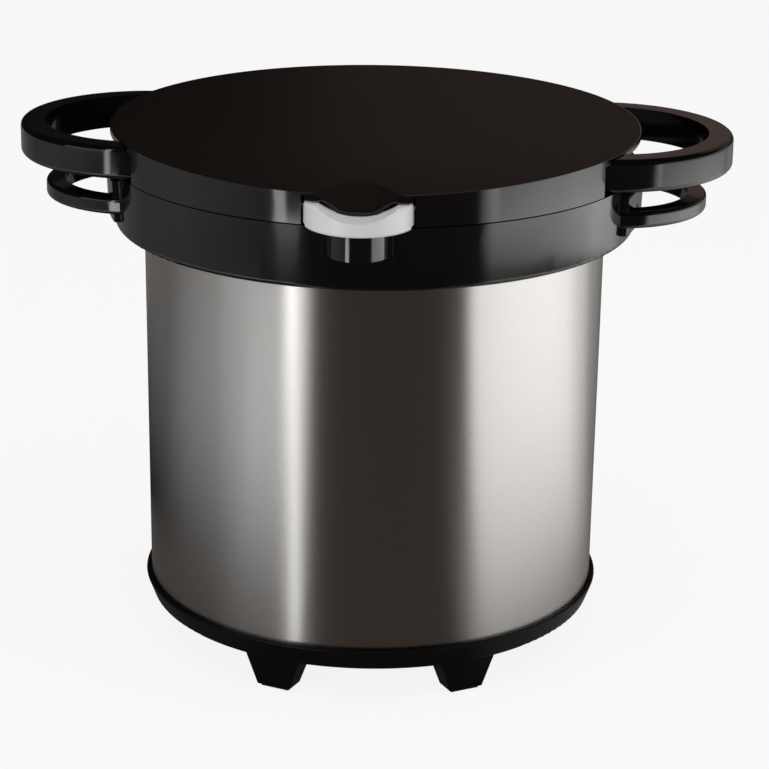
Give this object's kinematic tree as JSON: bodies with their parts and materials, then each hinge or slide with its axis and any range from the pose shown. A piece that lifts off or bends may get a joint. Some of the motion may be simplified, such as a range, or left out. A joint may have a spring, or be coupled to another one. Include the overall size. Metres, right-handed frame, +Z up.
{
  "type": "thermal cooker",
  "caption": "Round vacuum-insulated steel cooker with a hinged lift-off lid, front latch lever, side handles, footed base and a lidded cooking pot inside.",
  "frame": {"origin": "on the cooker's axis, on the surface its feet stand on", "axes": "+Z up along the cooker's axis, -Y towards the front with the latch lever, +X to the right-hand handles as seen from the front"},
  "size_m": [0.382, 0.315, 0.2848],
  "materials": {
    "brushed_steel_outside": "brushed round the body",
    "satin_steel": "fine satin",
    "getter_metal": "dull",
    "gloss_black": "gloss",
    "satin_black": "satin",
    "brown_black_matte": "fine matte grain",
    "black_rubber": "matte",
    "grey_silicone": "satin",
    "white_plastic": "semi-gloss",
    "liner_plastic": "satin",
    "insulating_foam": "matte",
    "zinc_steel": "zinc plated",
    "bright_steel": "polished",
    "heat_aluminium": "satin"
  },
  "bodies": {
    "container": {"outer_shell": "brushed_steel_outside", "inner_shell": "satin_steel", "vacuum_seal_disc": "satin_steel", "getter_strip": "getter_metal", "collar": "gloss_black", "collar_gasket": "grey_silicone", "base_cap": "satin_black", "foot_pads": "black_rubber", "body_handle_left": "gloss_black", "body_handle_right": "gloss_black", "body_handle_screws": "zinc_steel", "latch_boss": "gloss_black", "keeper_plate": "zinc_steel", "hinge_socket": "gloss_black", "hinge_socket_screws": "zinc_steel"},
    "lid_carrier": {"hinge_block": "gloss_black", "hinge_pin": "bright_steel"},
    "lid": {"lid_skirt": "gloss_black", "lid_top_plate": "brown_black_matte", "lid_liner": "liner_plastic", "lid_liner_screws": "zinc_steel", "lid_foam": "insulating_foam", "lid_seal": "grey_silicone", "lid_handle_left": "gloss_black", "lid_handle_right": "gloss_black", "lid_handle_screws": "zinc_steel", "lever_pins": "bright_steel", "lever_springs": "zinc_steel"},
    "latch": {"lever": "white_plastic", "latch_hook": "zinc_steel"},
    "pot": {"inner_pot": "satin_steel", "pot_base_disc": "heat_aluminium", "pot_ears": "bright_steel", "ear_rivets": "bright_steel"},
    "pot_bail": {"bail": "bright_steel", "bail_grip": "satin_black"},
    "pot_cover": {"pot_lid": "satin_steel", "pot_knob": "satin_black", "knob_screw": "zinc_steel"}
  },
  "joints": [
    {"name": "lid_lift", "type": "slide", "parent": "container", "child": "lid_carrier", "axis": [0, 0, 1], "range_m": [0, 0.45]},
    {"name": "lid_hinge", "type": "hinge", "parent": "lid_carrier", "child": "lid", "pos_m": [0, 0.1505, 0.273], "axis": [-1, 0, 0], "range_deg": [0, 95]},
    {"name": "lever_pivot", "type": "hinge", "parent": "lid", "child": "latch", "pos_m": [0, -0.1365, 0.2756], "axis": [-1, 0, 0], "range_deg": [0, 8], "stiffness_Nm_per_rad": 0.1, "springref_deg": -17.19, "deforming": ["lever_springs"]},
    {"name": "pot_lift", "type": "slide", "parent": "container", "child": "pot", "axis": [0, 0, 1], "range_m": [0, 0.225]},
    {"name": "bail_swing", "type": "hinge", "parent": "pot", "child": "pot_bail", "pos_m": [0, 0, 0.2235], "axis": [-1, 0, 0], "range_deg": [0, 82]},
    {"name": "pot_cover_lift", "type": "slide", "parent": "pot", "child": "pot_cover", "axis": [0, 0, 1], "range_m": [0, 0.02]}
  ],
  "couplings": [
    {"joint": "pot_lift", "follows": "lid_lift", "ratio": 0.5},
    {"joint": "bail_swing", "follows": "lid_lift", "rad_per_m": 3.1803},
    {"joint": "pot_cover_lift", "follows": "lid_lift", "ratio": 0.0444}
  ]
}
